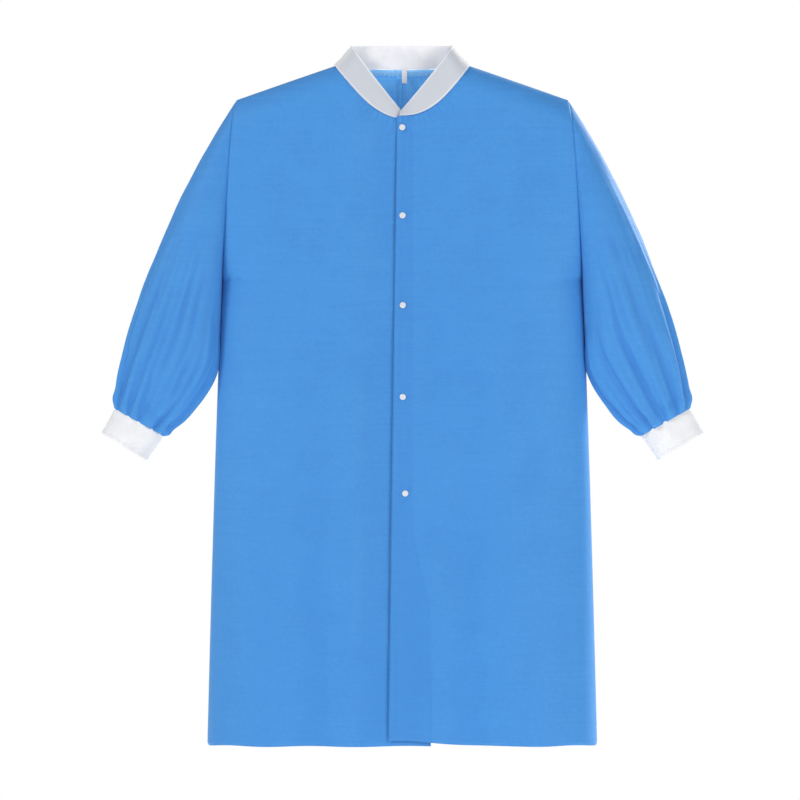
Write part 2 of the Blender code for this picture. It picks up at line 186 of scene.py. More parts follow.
class Nodes:
    """Short calls for building a material's node tree."""

    def __init__(self, material):
        self.tree = material.node_tree
        self.shader = self.tree.nodes["Principled BSDF"]
        self.place = self.add("ShaderNodeTexCoord").outputs["Object"]

    def add(self, kind, **settings):
        node = self.tree.nodes.new(kind)
        for key, value in settings.items():
            setattr(node, key, value)
        return node

    def link(self, source, target):
        self.tree.links.new(source, target)

    def stretched(self, scale):
        node = self.add("ShaderNodeMapping")
        node.inputs["Scale"].default_value = scale
        self.link(self.place, node.inputs["Vector"])
        return node.outputs["Vector"]

    def noise(self, scale, detail=2.0, stretch=None):
        node = self.add("ShaderNodeTexNoise")
        node.inputs["Scale"].default_value = scale
        node.inputs["Detail"].default_value = detail
        self.link(self.stretched(stretch) if stretch else self.place, node.inputs["Vector"])
        return node.outputs["Fac"]

    def cells(self, scale):
        node = self.add("ShaderNodeTexVoronoi")
        node.inputs["Scale"].default_value = scale
        self.link(self.place, node.inputs["Vector"])
        return node.outputs["Distance"]

    def ramp(self, source, low, high, start=0.0, end=1.0):
        node = self.add("ShaderNodeMapRange")
        node.inputs["From Min"].default_value = start
        node.inputs["From Max"].default_value = end
        node.inputs["To Min"].default_value = low
        node.inputs["To Max"].default_value = high
        self.link(source, node.inputs["Value"])
        return node.outputs["Result"]

    def math(self, operation, first, second):
        node = self.add("ShaderNodeMath", operation=operation)
        for socket, value in zip(node.inputs, (first, second)):
            if isinstance(value, (int, float)):
                socket.default_value = value
            else:
                self.link(value, socket)
        return node.outputs["Value"]

    def mix(self, factor, first, second):
        node = self.add("ShaderNodeMix", data_type="RGBA")
        for index, value in ((0, factor), (6, first), (7, second)):
            if isinstance(value, tuple):
                node.inputs[index].default_value = (*value, 1)
            elif isinstance(value, (int, float)):
                node.inputs[index].default_value = value
            else:
                self.link(value, node.inputs[index])
        return node.outputs[2]

    def attribute(self, name):
        return self.add("ShaderNodeAttribute", attribute_name=name).outputs["Fac"]

    def height(self, name="Z"):
        node = self.add("ShaderNodeSeparateXYZ")
        self.link(self.place, node.inputs["Vector"])
        return node.outputs[name]

    def bump(self, source, strength, distance, under=None):
        node = self.add("ShaderNodeBump")
        node.inputs["Strength"].default_value = strength
        node.inputs["Distance"].default_value = distance
        self.link(source, node.inputs["Height"])
        if under:
            self.link(under, node.inputs["Normal"])
        return node.outputs["Normal"]


SHINE_THROUGH = 0.33      # strength of the painted glow that stands in for light coming through a single layer, against its own colour


def nonwoven(name, base, deep, pale):
    """Spunbond cloth: bonded points, cloudy fibre density, faint cross streaks."""
    material = plain_material(name, base, 0.62)
    n = Nodes(material)
    clouds = n.ramp(n.noise(2.6, 3.0), 0.0, 1.0, 0.30, 0.70)
    mottle = n.noise(210, 3.0)
    streaks = n.noise(1.0, 2.0, stretch=(14, 14, 420))
    fine = n.math("ADD", n.math("MULTIPLY", mottle, 0.6), n.math("MULTIPLY", streaks, 0.4))
    color = n.mix(n.ramp(clouds, 0.0, 0.35), base, pale)
    color = n.mix(n.ramp(fine, 0.30, 0.0, 0.35, 0.65), color, deep)
    # Painted shade: the layers attribute darkens fold hollows, the sleeves' armhole edge and the over front
    # where layers lie behind
    color = n.mix(n.attribute("layers"), color, deep)
    n.link(color, n.shader.inputs["Base Color"])
    # Painted glow: the cloth's own colour is emitted where the glow attribute is set
    n.link(color, n.shader.inputs["Emission Color"])
    n.link(n.math("MULTIPLY", n.attribute("painted_glow"), SHINE_THROUGH),
           n.shader.inputs["Emission Strength"])
    points = n.ramp(n.cells(640), 0.0, 1.0, 0.0, 0.5)
    bonded = n.bump(points, 0.12, 0.0002)
    crumple = n.bump(n.noise(30, 4.0), 0.20, 0.0020, bonded)
    n.link(crumple, n.shader.inputs["Normal"])
    n.link(n.ramp(mottle, 0.56, 0.70), n.shader.inputs["Roughness"])
    n.shader.inputs["Sheen Weight"].default_value = 0.08
    n.shader.inputs["Sheen Roughness"].default_value = 0.5
    n.shader.inputs["Specular IOR Level"].default_value = 0.25
    n.shader.inputs["Subsurface Weight"].default_value = 0.15
    n.shader.inputs["Subsurface Scale"].default_value = 0.0012
    n.shader.inputs["Subsurface Radius"].default_value = (0.5, 0.8, 1.0)
    return material


def knit(name, base, shade):
    """Cotton rib: soft matt yarn, cloudy and slightly fuzzy."""
    material = plain_material(name, base, 0.9)
    n = Nodes(material)
    fuzz = n.noise(900, 3.0)
    cloud = n.noise(45, 3.0)
    color = n.mix(n.ramp(cloud, 0.0, 0.25, 0.35, 0.65), base, shade)
    # The layers attribute deepens the yarn colour: evenly over the cuffs, more on the collar's front arms
    color = n.mix(n.attribute("layers"), color, shade)
    n.link(color, n.shader.inputs["Base Color"])
    # Painted glow in the yarn's own colour where the glow attribute is set
    n.link(color, n.shader.inputs["Emission Color"])
    n.link(n.math("MULTIPLY", n.attribute("painted_glow"), SHINE_THROUGH),
           n.shader.inputs["Emission Strength"])
    loops = n.bump(n.noise(1.0, 2.0, stretch=(500, 500, 900)), 0.10, 0.0002)
    n.link(n.bump(fuzz, 0.06, 0.0001, loops), n.shader.inputs["Normal"])
    n.link(n.ramp(fuzz, 0.84, 0.96), n.shader.inputs["Roughness"])
    n.shader.inputs["Sheen Weight"].default_value = 0.25
    n.shader.inputs["Sheen Roughness"].default_value = 0.6
    return material


def moulded(name, base, shade):
    """Moulded snap plastic with a soft gloss."""
    material = plain_material(name, base, 0.34)
    n = Nodes(material)
    n.link(n.mix(n.ramp(n.noise(260, 2.0), 0.0, 0.3, 0.35, 0.65), base, shade),
           n.shader.inputs["Base Color"])
    n.link(n.ramp(n.noise(700, 2.0), 0.28, 0.42), n.shader.inputs["Roughness"])
    n.link(n.bump(n.noise(1500, 2.0), 0.08, 0.0001), n.shader.inputs["Normal"])
    return material


def woven(name, base, shade, pitch):
    """Satin label tape or spun thread: fine crossing yarns."""
    material = plain_material(name, base, 0.55)
    n = Nodes(material)
    warp = n.add("ShaderNodeTexWave", wave_type="BANDS", bands_direction="X")
    weft = n.add("ShaderNodeTexWave", wave_type="BANDS", bands_direction="Z")
    for wave in (warp, weft):
        wave.inputs["Scale"].default_value = pitch
        wave.inputs["Distortion"].default_value = 0.6
        n.link(n.place, wave.inputs["Vector"])
    cross = n.math("MULTIPLY", warp.outputs["Fac"], weft.outputs["Fac"])
    n.link(n.mix(n.ramp(cross, 0.0, 0.4), base, shade), n.shader.inputs["Base Color"])
    n.link(n.bump(cross, 0.3, 0.0001), n.shader.inputs["Normal"])
    n.link(n.ramp(cross, 0.48, 0.62), n.shader.inputs["Roughness"])
    return material


# ---------------------------------------------------------------- the body form

def mix(low, high, amount):
    return low + (high - low) * amount


def smooth(value):
    value = min(max(value, 0.0), 1.0)
    return value * value * (3 - 2 * value)


def bell(distance, width):
    """1 at distance 0, falling smoothly to 0 at width."""
    return smooth(1 - abs(distance) / width)


def side_x(z):
    drop = max(-z - SHOULDER_DROP, 0.0) / (LENGTH - SHOULDER_DROP)
    return TIP_X + (HEM_X - TIP_X) * drop ** FLARE_POWER


def fold_x(z):
    return mix(NECK_X, FOLD_HEM_X, -z / LENGTH)


def shoulder_z(x):
    """Height where front and back would meet over the shoulder, or over the open neck."""
    x = abs(x)
    if x < NECK_X:
        return SHOULDER_ROUND * (1 - (x / NECK_X) ** 2)
    return -SHOULDER_DROP * (x - NECK_X) / (TIP_X - NECK_X)


def seam_z(x):
    """Height of the shoulder seam."""
    return min(0.0, -SHOULDER_DROP * (abs(x) - NECK_X) / (TIP_X - NECK_X))


def cloth_depth(x, z, full, armhole):
    """How far the cloth stands off the mid-plane at x, z."""
    reach = min(abs(x) / side_x(z), 1.0)
    along = (-z - SHOULDER_DROP) / (UNDERARM - SHOULDER_DROP)
    edge = armhole * math.sqrt(max(4 * along * (1 - along), 0.0))
    roll = min(max((shoulder_z(x) - z) / SHOULDER_ROUND, 0.0), 1.0)
    plain = edge + (full - edge) * math.sqrt(1 - reach ** SIDE_POWER)
    return plain * math.sqrt(1 - (1 - roll) ** 2)


def front_form(x, z):
    return -cloth_depth(x, z, mix(FRONT_NECK, FRONT_HEM, -z / LENGTH), FRONT_ARMHOLE)


def back_form(x, z):
    drop = -z
    full = BACK_NECK + BACK_BLADE * (1 - math.exp(-drop / BLADE_DROP)) + BACK_HEM * drop / LENGTH
    return cloth_depth(x, z, full, BACK_ARMHOLE)


def neckline_z(x, side):
    reach = min(max(side * x, 0.0) / NECK_X, 1.0)
    return -FRONT_DROP[side] * (1 - reach ** NECKLINE_POWER[side])


def back_neckline_z(x):
    return -BACK_DROP * (1 - min(abs(x) / NECK_X, 1.0) ** 2)


def left_edge_x(z):
    return mix(LEFT_EDGE[0], LEFT_EDGE[1], -z / LENGTH)


def right_edge_x(z):
    return mix(*RIGHT_EDGE, smooth((-z - RIGHT_FLARE[0]) / (RIGHT_FLARE[1] - RIGHT_FLARE[0])))


EDGE_X = {1: left_edge_x, -1: right_edge_x}


# ---------------------------------------------------------------- cloth relief

def rumple(x, z, seed, size):
    """Smooth noise from -1 to 1 over the cloth."""
    return noise.fractal(Vector((x / size, seed, z / size)), 0.9, 2.1, 3)


def hanging_folds(x, z, seed, power):
    """Long soft folds that grow from the chest to the hem."""
    grow = smooth((-z - 0.20) / 0.9)
    drift = 0.25 * noise.noise(Vector((seed, 0.3, z * 1.7)))
    wave = math.sin(2 * math.pi * (x / 0.155 + drift + seed))
    second = math.sin(2 * math.pi * (x / 0.083 - drift + 2 * seed))
    return power * grow * (0.7 * wave + 0.3 * second)


PULL_REACH = 0.045
PULL_WRINKLE = 0.35 * MM
DIMPLE_REACH = 0.016
DIMPLE_DEPTH = 0.5 * MM


def snap_pull(x, z):
    """The dimple and the short wrinkles round each snap."""
    relief = 0.0
    for snap_x, drop in SNAP_PLACES:
        dx, dz = x - snap_x, z + drop
        far = math.hypot(dx, dz)
        if far < PULL_REACH:
            angle = math.atan2(dz, dx)
            rays = math.sin(5 * angle + 9 * drop) + 0.6 * math.sin(9 * angle + 31 * drop)
            fade = smooth((far - 0.004) / 0.008) * smooth(1 - far / PULL_REACH)
            relief += PULL_WRINKLE * rays * fade
            relief -= DIMPLE_DEPTH * smooth(1 - far / DIMPLE_REACH)
    return relief


PUCKER_DEPTH = 0.9 * MM
PUCKER_REACH = 0.036
PUCKER_RATE = 62          # turns of the puckers' wave, in radians to each radian round the neck


def neck_puckers(x, z, side):
    """Short puckers below the collar seam."""
    below = neckline_z(x, side) - z
    if below > PUCKER_REACH or abs(x) > NECK_X:
        return 0.0
    along = math.atan2(z, x) if side > 0 else math.atan2(z, -x)
    wave = math.sin(PUCKER_RATE * along + 3 * noise.noise(Vector((9 * x, 1.0, 9 * z))))
    return PUCKER_DEPTH * wave * smooth(1 - below / PUCKER_REACH)


PRESS_DROPS = (0.616, 0.641)


def press_creases(z):
    """Two faint cross creases left by the way the coat was packed."""
    return 0.35 * MM * sum(bell(z + drop, 0.005) for drop in PRESS_DROPS)


def away_from_seams(x, z):
    """0 on the side, armhole and shoulder seams, rising to 1 inside the panel."""
    return smooth((side_x(z) - abs(x)) / 0.05) * smooth((shoulder_z(x) - z) / 0.03)


def front_relief(x, z, side):
    """Folds and rumples of a front, calmer along the snaps."""
    calm = mix(0.3, 1.0, smooth((abs(x) - 0.01) / 0.05))
    relief = hanging_folds(x, z, 0.21 if side > 0 else 0.67, 4.4 * MM)
    relief += 3.8 * MM * rumple(x, z, 3.0 + side, 0.15) + 0.45 * MM * rumple(x, z, 7.0, 0.030)
    relief += press_creases(z)
    relief *= calm * away_from_seams(x, z)
    return relief + neck_puckers(x, z, side) + snap_pull(x, z)


def back_relief(x, z):
    relief = hanging_folds(x, z, 0.43, 3.2 * MM)
    relief += 1.6 * MM * rumple(x, z, 11.0, 0.17) + 0.3 * MM * rumple(x, z, 13.0, 0.035)
    return (relief + press_creases(z)) * away_from_seams(x, z)


def seam_dip(distance, depth, width):
    """Cloth drawn in along a seam."""
    return depth * smooth(1 - distance / width)


def lap_step(x, z):
    """How far the under front steps back behind the over front."""
    return LAP * smooth((x + 0.5 * LAP_RAMP + fold_x(z) / 2) / LAP_RAMP)


def front_surface(x, z, side):
    """Height of the outer face of a front, its relief and its steps included."""
    y = front_form(x, z) - front_relief(x, z, side)
    y += seam_dip(side_x(z) - abs(x), 0.8 * MM, 0.003)
    if side > 0:
        edge = x - left_edge_x(z)
        y += 1.6 * MM * smooth(1 - edge / 0.004) - 0.5 * MM * bell(edge - 0.006, 0.006)
    else:
        y += lap_step(x, z)
    return y


# ---------------------------------------------------------------- mesh helpers

def new_piece(name, mesh, material):
    obj = bpy.data.objects.new(name, mesh)
    bpy.context.scene.collection.objects.link(obj)
    mesh.materials.append(material)
    return obj


def grid_piece(name, columns, rows, place, thickness, material, flip=False, closed=False,
               layers=None, painted_glow=None):
    """A cloth piece: a fine grid mapped through place(u, v), thickened towards its inside.

    The layers function gives painted shade and the glow function a painted glow; both take a point and v, or
    are None.
    """
    bm = bmesh.new()
    tones = [(bm.verts.layers.float.new("layers"), layers),
             (bm.verts.layers.float.new("painted_glow"), painted_glow)]
    turn = bm.verts.layers.float.new("turn")
    along = bm.verts.layers.float.new("along")
    bmesh.ops.create_grid(bm, x_segments=columns, y_segments=rows, size=0.5)
    for vert in bm.verts:
        vert[turn], vert[along] = vert.co.x + 0.5, vert.co.y + 0.5
        vert.co = Vector(place(vert[turn], vert[along]))
        for tone, amount in tones:
            vert[tone] = amount(vert.co, vert[along]) if amount else 0.0
    if closed:
        bmesh.ops.remove_doubles(bm, verts=bm.verts, dist=1e-6)
    if flip:
        bmesh.ops.reverse_faces(bm, faces=bm.faces)
    mesh = bpy.data.meshes.new(name)
    bm.to_mesh(mesh)
    bm.free()
    mesh.shade_smooth()
    obj = new_piece(name, mesh, material)
    if thickness:
        solid = obj.modifiers.new("thickness", "SOLIDIFY")
        solid.thickness = thickness
        solid.offset = -1
    return obj


BODY_HOLLOWS = (60, 1.0 * MM, 0.14)       # rounds of smoothing, depth, strength of the tone
SLEEVE_HOLLOWS = (14, 1.2 * MM, 0.50)


def shade_hollows(obj, rounds, depth, strength):
    """Deepens the colour in the hollows of the folds, where the cloth shades itself."""
    mesh = obj.data
    count = len(mesh.vertices)
    place, normal = np.empty(3 * count), np.empty(3 * count)
    mesh.vertices.foreach_get("co", place)
    mesh.vertices.foreach_get("normal", normal)
    place, normal = place.reshape(-1, 3), normal.reshape(-1, 3)
    ends = np.empty(2 * len(mesh.edges), dtype=int)
    mesh.edges.foreach_get("vertices", ends)
    ends, across = ends.reshape(-1, 2).T, ends.reshape(-1, 2)[:, ::-1].T
    degree = np.bincount(ends.ravel(), minlength=count)
    level = place
    for _ in range(rounds):
        level = np.stack([np.bincount(ends.ravel(), axis[across.ravel()], count) / degree
                          for axis in level.T], axis=1)
    hollow = np.einsum("ij,ij->i", level - place, normal) / depth
    tone = np.empty(count)
    mesh.attributes["layers"].data.foreach_get("value", tone)
    tone += strength / (1 + np.exp(-4 * hollow))
    mesh.attributes["layers"].data.foreach_set("value", tone)


def shell_piece(name, columns, rows, place, material, flip=False, closed=False, layers=None,
                painted_glow=None):
    """A knitted piece: place(u, v, outer) gives its ribbed outer face and its plain inner face."""
    across = columns if closed else columns + 1
    bm = bmesh.new()
    tone = bm.verts.layers.float.new("layers")
    glow = bm.verts.layers.float.new("painted_glow")
    faces = {}
    for outer in (True, False):
        grid = [[bm.verts.new(place(i / columns, j / rows, outer)) for j in range(rows + 1)]
                for i in range(across)]
        faces[outer] = grid
        for i, line in enumerate(grid):
            for j, vert in enumerate(line):
                vert[tone] = layers(i / columns, j / rows) if layers else 0.0
                # The painted glow goes on the inner face only
                vert[glow] = painted_glow(i / columns) if painted_glow and not outer else 0.0
        for i in range(columns):
            near, far = grid[i], grid[(i + 1) % across]
            for j in range(rows):
                corners = (near[j], far[j], far[j + 1], near[j + 1])
                bm.faces.new(corners if outer != flip else corners[::-1])
    for i in range(columns):
        for j in (0, rows):
            corners = [faces[outer][k % across][j] for outer, k in
                       ((True, i), (False, i), (False, i + 1), (True, i + 1))]
            bm.faces.new(corners if (j == 0) != flip else corners[::-1])
    if not closed:
        for j in range(rows):
            for i in (0, columns):
                corners = [faces[outer][i][k] for outer, k in
                           ((True, j), (True, j + 1), (False, j + 1), (False, j))]
                bm.faces.new(corners if (i == 0) != flip else corners[::-1])
    mesh = bpy.data.meshes.new(name)
    bm.to_mesh(mesh)
    bm.free()
    mesh.shade_smooth()
    mesh.set_sharp_from_angle(angle=math.radians(60))
    return new_piece(name, mesh, material)


def thread(name, points, radius, material):
    """A sewn thread: a thin round tube along points."""
    curve = bpy.data.curves.new(name, "CURVE")
    curve.dimensions = "3D"
    curve.bevel_depth = radius
    curve.bevel_resolution = 1
    curve.use_fill_caps = True
    spline = curve.splines.new("POLY")
    spline.points.add(len(points) - 1)
    for slot, point in zip(spline.points, points):
        slot.co = (*point, 1)
    path = bpy.data.objects.new(name + "_path", curve)
    bpy.context.scene.collection.objects.link(path)
    bpy.context.view_layer.update()
    mesh = bpy.data.meshes.new_from_object(path.evaluated_get(
        bpy.context.evaluated_depsgraph_get()))
    bpy.data.objects.remove(path)
    mesh.name = name
    mesh.materials.clear()
    mesh.shade_smooth()
    return new_piece(name, mesh, material)


def turned(name, profile_mm, matrix, material):
    """A turned piece: radius and height pairs in millimetres, round its own Z axis."""
    mesh = bpy.data.meshes.new(name)
    verts = [(radius * MM, 0.0, height * MM) for radius, height in profile_mm]
    mesh.from_pydata(verts, [(i, i + 1) for i in range(len(verts) - 1)], [])
    obj = new_piece(name, mesh, material)
    obj.matrix_world = matrix
    screw = obj.modifiers.new("turn", "SCREW")
    screw.steps = 48
    screw.render_steps = 48
    screw.use_merge_vertices = True
    screw.merge_threshold = 0.00001
    screw.use_smooth_shade = True
    soft = obj.modifiers.new("soft edges", "BEVEL")
    soft.width = 0.12 * MM
    soft.segments = 2
    soft.limit_method = "ANGLE"
    return obj


# ---------------------------------------------------------------- baked placement of the pieces


def bend_with_flap(obj):
    """Bakes the placement of a front, facing or collar half into its mesh."""
    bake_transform(obj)


def bend_with_arm(obj):
    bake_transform(obj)


# ---------------------------------------------------------------- fronts, facings and backs

def overlap_painted_shade(point, along):
    """Painted shade on the over front where more layers lie behind it: darker where facing and under front
    show through, darkest in a line along the under front's edge.
    """
    behind = right_edge_x(point.z) - point.x
    return 0.16 * smooth(behind / 0.002 + 0.5) + 0.22 * bell(behind, 0.002)


def neck_painted_glow(point, along):
    """Painted glow on the single back layer, strongest behind the open neck and fainter lower down, standing
    in for the light that comes through it.
    """
    return mix(0.3, 1.0, smooth((point.z + 0.22) / 0.12))


ARMHOLE_SHADE = 0.045


def armhole_painted_shadow(point, along):
    """Painted shadow: the sleeve's first rows are darkened where they lie in the shadow of the body's edge.
    """
    return 0.55 * smooth(1 - along / ARMHOLE_SHADE)


CORNER_LIFT = 4 * MM      # rounds the hem's corners at the side seams
HEM_ROUNDING = 0.95
HEM_WAVE = 0.8 * MM
FLAP_SHARE = 0.5          # share of the front's columns that lie on the opening part
NECK_SHARE = 0.4          # share of the back's columns that end in the neck
PANEL_GRID = (110, 230)
FACING_COLUMNS = 16
FACING_INSET = 1.0 * MM
FACING_SHORT = 1.5 * MM
FACING_GAP = 0.35 * MM
FACING_CLOTH = 0.6 * MM
ROW_SPREAD = 1.25         # rows lie closer together towards the shoulder


def hem_z(u, lift):
    """Height of the hem, a little wavy and rounded up at the side seam."""
    rounding = CORNER_LIFT * smooth((u - HEM_ROUNDING) / (1 - HEM_ROUNDING)) ** 2
    return lift + rounding + HEM_WAVE * math.sin(18 * u) - LENGTH


def seam_columns(across):
    """Spreads grid columns closer together towards the side seam, where the cloth turns."""
    return mix(across, math.sin(math.pi / 2 * across), 0.75)


def front_cloth(side, cloth):
    def place(u, v):
        flap = min(u / FLAP_SHARE, 1.0)
        swing = seam_columns(max(u - FLAP_SHARE, 0.0) / (1 - FLAP_SHARE))
        if flap < 1:
            top = neckline_z(mix(EDGE_X[side](-FRONT_DROP[side]), side * NECK_X, flap), side)
        else:
            top = seam_z(mix(NECK_X, TIP_X, swing))
        lift = OVER_HEM_LIFT * smooth(1 - flap) if side > 0 else 0.0
        z = mix(top, hem_z(u, lift), v ** ROW_SPREAD)
        if flap < 1:
            x = mix(EDGE_X[side](z), side * fold_x(z), flap)
        else:
            x = side * mix(fold_x(z), side_x(z), swing)
        return x, front_surface(x, z, side), z
    obj = grid_piece(f"{SIDE_NAME[side]}_front_cloth", *PANEL_GRID, place, CLOTH, cloth,
                     flip=side > 0, layers=overlap_painted_shade if side > 0 else None)
    shade_hollows(obj, *BODY_HOLLOWS)
    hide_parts(f"{SIDE_NAME[side]}_front", f"{SIDE_NAME[side]}_front_side")
    bend_with_flap(obj)
    return obj


def facing_cloth(side, cloth):
    width = FACING_WIDTH[side]

    def place(u, v):
        near = EDGE_X[side](-FRONT_DROP[side]) + side * FACING_INSET
        top = neckline_z(mix(near, near + side * width, u), side) - FACING_SHORT
        z = mix(top, OVER_HEM_LIFT + FACING_SHORT - LENGTH, v ** ROW_SPREAD)
        x = EDGE_X[side](z) + side * mix(FACING_INSET, width, u)
        return x, front_surface(x, z, side) + CLOTH + FACING_GAP, z
    obj = grid_piece(f"{SIDE_NAME[side]}_facing_cloth", FACING_COLUMNS, PANEL_GRID[1], place,
                     FACING_CLOTH, cloth, flip=side > 0)
    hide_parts(f"{SIDE_NAME[side]}_facing")
    bend_with_flap(obj)


def back_cloth(side, cloth, inner_cloth):
    def place(u, v):
        if u < NECK_SHARE:
            top_x = mix(0.0, NECK_X, u / NECK_SHARE)
            top = back_neckline_z(top_x)
        else:
            top_x = mix(NECK_X, TIP_X, seam_columns((u - NECK_SHARE) / (1 - NECK_SHARE)))
            top = seam_z(top_x)
        z = mix(top, hem_z(u, 0.0), v ** ROW_SPREAD)
        x = top_x * side_x(z) / TIP_X
        y = back_form(x, z) + back_relief(side * x, z)
        y -= seam_dip(side_x(z) - x, 1.2 * MM, 0.006)
        y -= seam_dip(x, 1.8 * MM, 0.004)
        pucker = 0.25 * MM * math.sin(z / 0.0023 + 3 * noise.noise(Vector((0, 0, 30 * z))))
        y += pucker * bell(x, 0.012)
        return side * x, y, z
    obj = grid_piece(f"{SIDE_NAME[side]}_back_cloth", *PANEL_GRID, place, CLOTH, cloth,
                     flip=side < 0, painted_glow=neck_painted_glow)
    # The inner faces take the lit, lighter copy of the blue: painted light
    obj.data.materials.append(inner_cloth)
    obj.modifiers["thickness"].material_offset = 1
    shade_hollows(obj, *BODY_HOLLOWS)
    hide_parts(f"{SIDE_NAME[side]}_back")
    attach(obj, "coat_body")


# ---------------------------------------------------------------- sleeves and cuffs

def path_point(points, along):
    spans = len(points) - 1
    index = min(int(along * spans), spans - 1)
    t = along * spans - index
    before, start, end, after = [Vector(points[min(max(index + step, 0), spans)])
                                 for step in (-1, 0, 1, 2)]
    return 0.5 * (2 * start + (end - before) * t
                  + (2 * before - 5 * start + 4 * end - after) * t ** 2
                  + (3 * start - before - 3 * end + after) * t ** 3)


def bezier_point(points, along):
    start, lift, land, end = (Vector(point) for point in points)
    rest = 1 - along
    return (rest ** 3 * start + 3 * rest ** 2 * along * lift
            + 3 * rest * along ** 2 * land + along ** 3 * end)


SLEEVE_FRONT_FULL = 0.050
SLEEVE_BACK_FULL = 0.056
GATHERS = 12              # folds gathered into each cuff
PUFF = 2.5 * MM           # how far the gathered end swells over the cuff seam
TUCK = 5 * MM             # how far the sleeve starts under the body's armhole edge
SLEEVE_COLUMNS = 132
SLEEVE_ROWS = 100
CUT_END = 0.350           # flat girth of the sleeve's end, before it is gathered to the cuff
EXTRA_LENGTH = 1.05       # the cloth's length against the sleeve's, taken up in slack folds
SLEEVE_RUN = 0.58
ARMHOLE_MIDDLE_Z = -0.2
CUFF_MIDDLE = (0.4330, -0.5910)
GATHER_DEPTH = 12.0 * MM
SLEEVE_SEED = {1: 2.3, -1: 6.1}
SIM_FRAMES = 20


def chance(number, seed):
    """A fixed random share from 0 to 1 for a whole number."""
    return math.sin(12.9898 * number + 78.233 * seed) * 43758.5453 % 1.0


def gather_relief(turn, along, seed):
    """Folds that run out of the cuff: each leans over its valley and fades at its own length."""
    up = 1 - along
    drift = 0.020 * noise.noise(Vector((seed, 9 * turn, 3 * along)))
    place = (turn + drift + 0.05 * up * math.sin(2 * math.pi * turn + seed)) * GATHERS
    index = math.floor(place) % GATHERS
    inside = place - math.floor(place)
    length = mix(0.16, 0.62, chance(index, seed) ** 1.4)
    depth = mix(0.45, 1.0, chance(index, seed + 5))
    crest = mix(0.62, 0.80, chance(index, seed + 9))
    rise = smooth(inside / crest) if inside < crest else 1 - smooth((inside - crest) / (1 - crest))
    fade = max(1 - up / length, 0.0) ** 0.8 * mix(0.35, 1.0, smooth(up / 0.035))
    return depth * fade * (rise - 0.55)


def sleeve_form(side, turn, along, seed, gather):
    """Point on the sleeve: turn goes round it, along runs from armhole to cuff."""
    angle = 2 * math.pi * turn
    across = (1 - math.cos(angle)) / 2
    outer = bezier_point(SLEEVE_OUTER, along)
    inner = path_point(SLEEVE_INNER, along)
    point = outer.lerp(inner, across)
    full = math.sqrt(math.sin(math.pi * (0.25 + 0.62 * along)))
    front = mix(SLEEVE_FRONT_FULL * full, CUFF_HALF_DEPTH, along ** 6)
    back = mix(SLEEVE_BACK_FULL * full, CUFF_HALF_DEPTH, along ** 6)
    depth = math.sin(angle) * (front if angle < math.pi else back)

    hole_z = mix(-SHOULDER_DROP, -UNDERARM, across)
    hole_x = side_x(hole_z)
    hole_y = front_form(hole_x, hole_z) if angle < math.pi else back_form(hole_x, hole_z)
    near = (1 - along) ** 4
    x = mix(point.x, hole_x, near)
    z = mix(point.y, hole_z, near)
    y = mix(-depth, hole_y, near)

    # Tucked under the body's edge at the armhole
    tuck = smooth(1 - along / 0.05)
    y *= 1 - 0.20 * tuck
    x -= TUCK * tuck

    # Folds and rumples along the outward direction of the section
    lean = (outer - inner).normalized()
    rumples = 1.5 * MM * rumple(x + 2 * y, z + 3 * y, seed, 0.10)
    rumples += 5.0 * MM * noise.noise(Vector((7 * math.cos(angle) + seed, 7 * math.sin(angle),
                                              2.2 * along))) * smooth((along - 0.25) / 0.4)
    rumples *= smooth(along / 0.15)
    push = gather * gather_relief(turn, along, seed) + rumples * smooth((1 - along) / 0.15)
    push += PUFF * bell(along - 0.96, 0.05)
    reach = push * math.cos(angle)
    return Vector((side * (x + reach * lean.x), y - push * math.sin(angle),
                   z + reach * lean.y))


def girth(points):
    return sum((points[i] - points[i - 1]).length for i in range(len(points)))


